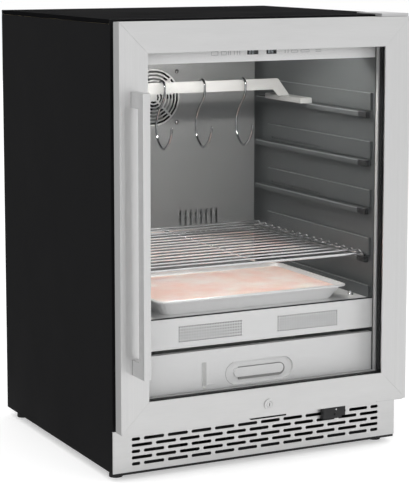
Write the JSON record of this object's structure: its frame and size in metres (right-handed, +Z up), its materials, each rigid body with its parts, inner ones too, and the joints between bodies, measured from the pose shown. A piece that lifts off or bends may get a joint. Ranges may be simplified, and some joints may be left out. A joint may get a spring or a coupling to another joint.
{
  "type": "dry aging cabinet",
  "caption": "Under-counter cooling cabinet for dry aging meat, with a hinged glass door, hanger bar with hooks, wire shelf, salt tray, lower drawer and slotted kick plate.",
  "frame": {"origin": "on the floor, under the middle of the whole object with its handle", "axes": "+Z up, -Y the side the door is on, +X the side of the hinges"},
  "size_m": [0.595, 0.62, 0.8295],
  "materials": {
    "stainless": "satin",
    "black_paint": "satin",
    "grey_liner": "satin",
    "black_plastic": "matte",
    "black_rubber": "matte",
    "glass": "gloss",
    "bright_wire": "polished",
    "bare_aluminium": "satin",
    "compressor_shell": "satin",
    "foam": "matte",
    "white_plastic": "satin",
    "salt": "matte",
    "circuit_board": "matte"
  },
  "bodies": {
    "cabinet": {"side_panel_left": "black_paint", "side_panel_right": "black_paint", "top_panel": "black_paint", "rear_panel": "black_paint", "compressor_cover": "black_paint", "mains_inlet": "black_plastic", "base_pan": "bare_aluminium", "kick_plate": "stainless", "door_sensor": "black_plastic", "front_frame": "black_paint", "insulation_foam": "foam", "liner_wall_left": "grey_liner", "liner_wall_right": "grey_liner", "liner_ceiling": "grey_liner", "liner_back": "grey_liner", "liner_floor": "grey_liner", "duct_cover": "grey_liner", "fan_grille": "grey_liner", "fan_housing": "black_plastic", "evaporator_coil": "bare_aluminium", "compressor": "compressor_shell", "condenser_coil": "black_paint", "condenser_fan_housing": "black_plastic", "evaporation_tray": "white_plastic", "control_panel": "stainless", "control_board": "circuit_board", "interior_light": "white_plastic", "vent_fascia": "stainless", "drawer_front": "stainless", "drawer_bin": "stainless", "salt_tray": "stainless", "salt_bed": "salt", "wire_shelf": "bright_wire", "top_hinge_bracket": "stainless", "bottom_hinge_bracket": "stainless"},
    "door": {"door_stile_left": "stainless", "door_stile_right": "stainless", "door_rail_bottom": "stainless", "door_rail_top": "stainless", "door_core": "black_plastic", "glass_outer": "glass", "glass_inner": "glass", "glass_spacer": "black_plastic", "door_gasket": "black_rubber", "door_handle": "stainless", "lock_barrel": "bright_wire", "lock_cover": "black_plastic"},
    "lock": {"lock_plug": "bright_wire"},
    "hanger": {"hanger_bar": "stainless"},
    "hook_1": {"meat_hook_1": "bright_wire"},
    "hook_2": {"meat_hook_2": "bright_wire"},
    "hook_3": {"meat_hook_3": "bright_wire"},
    "fan_wheel": {"fan_impeller": "black_plastic"},
    "condenser_fan_wheel": {"condenser_fan_impeller": "black_plastic"},
    "levelling_foot_front_left": {"foot_front_left": "black_rubber"},
    "levelling_foot_front_right": {"foot_front_right": "black_rubber"},
    "levelling_foot_rear_left": {"foot_rear_left": "black_rubber"},
    "levelling_foot_rear_right": {"foot_rear_right": "black_rubber"}
  },
  "joints": [
    {"name": "door_hinge", "type": "hinge", "parent": "cabinet", "child": "door", "pos_m": [0.2855, -0.242, 0.46], "axis": [0, 0, 1], "range_deg": [0, 110]},
    {"name": "lock_turn", "type": "hinge", "parent": "door", "child": "lock", "pos_m": [0, -0.26, 0.118], "axis": [0, 1, 0], "range_deg": [0, 90]},
    {"name": "hanger_slide", "type": "slide", "parent": "cabinet", "child": "hanger", "axis": [0, -1, 0], "range_m": [-0.07, 0.2]},
    {"name": "hook_swing_1", "type": "hinge", "parent": "hanger", "child": "hook_1", "pos_m": [-0.0512, 0.085, 0.6885], "axis": [1, 0, 0], "range_deg": [-15, 15]},
    {"name": "hook_swing_2", "type": "hinge", "parent": "hanger", "child": "hook_2", "pos_m": [0.0361, 0.085, 0.6885], "axis": [1, 0, 0], "range_deg": [-15, 15]},
    {"name": "hook_swing_3", "type": "hinge", "parent": "hanger", "child": "hook_3", "pos_m": [0.1272, 0.085, 0.6885], "axis": [1, 0, 0], "range_deg": [-15, 15]},
    {"name": "fan_spin", "type": "hinge", "parent": "cabinet", "child": "fan_wheel", "pos_m": [0, 0.245, 0.646], "axis": [0, 1, 0], "continuous": true},
    {"name": "condenser_fan_spin", "type": "hinge", "parent": "cabinet", "child": "condenser_fan_wheel", "pos_m": [-0.085, -0.17, 0.063], "axis": [0, 1, 0], "continuous": true},
    {"name": "foot_front_left_height", "type": "slide", "parent": "cabinet", "child": "levelling_foot_front_left", "axis": [0, 0, -1], "range_m": [0, 0.02]},
    {"name": "foot_front_right_height", "type": "slide", "parent": "cabinet", "child": "levelling_foot_front_right", "axis": [0, 0, -1], "range_m": [0, 0.02]},
    {"name": "foot_rear_left_height", "type": "slide", "parent": "cabinet", "child": "levelling_foot_rear_left", "axis": [0, 0, -1], "range_m": [0, 0.02]},
    {"name": "foot_rear_right_height", "type": "slide", "parent": "cabinet", "child": "levelling_foot_rear_right", "axis": [0, 0, -1], "range_m": [0, 0.02]}
  ]
}
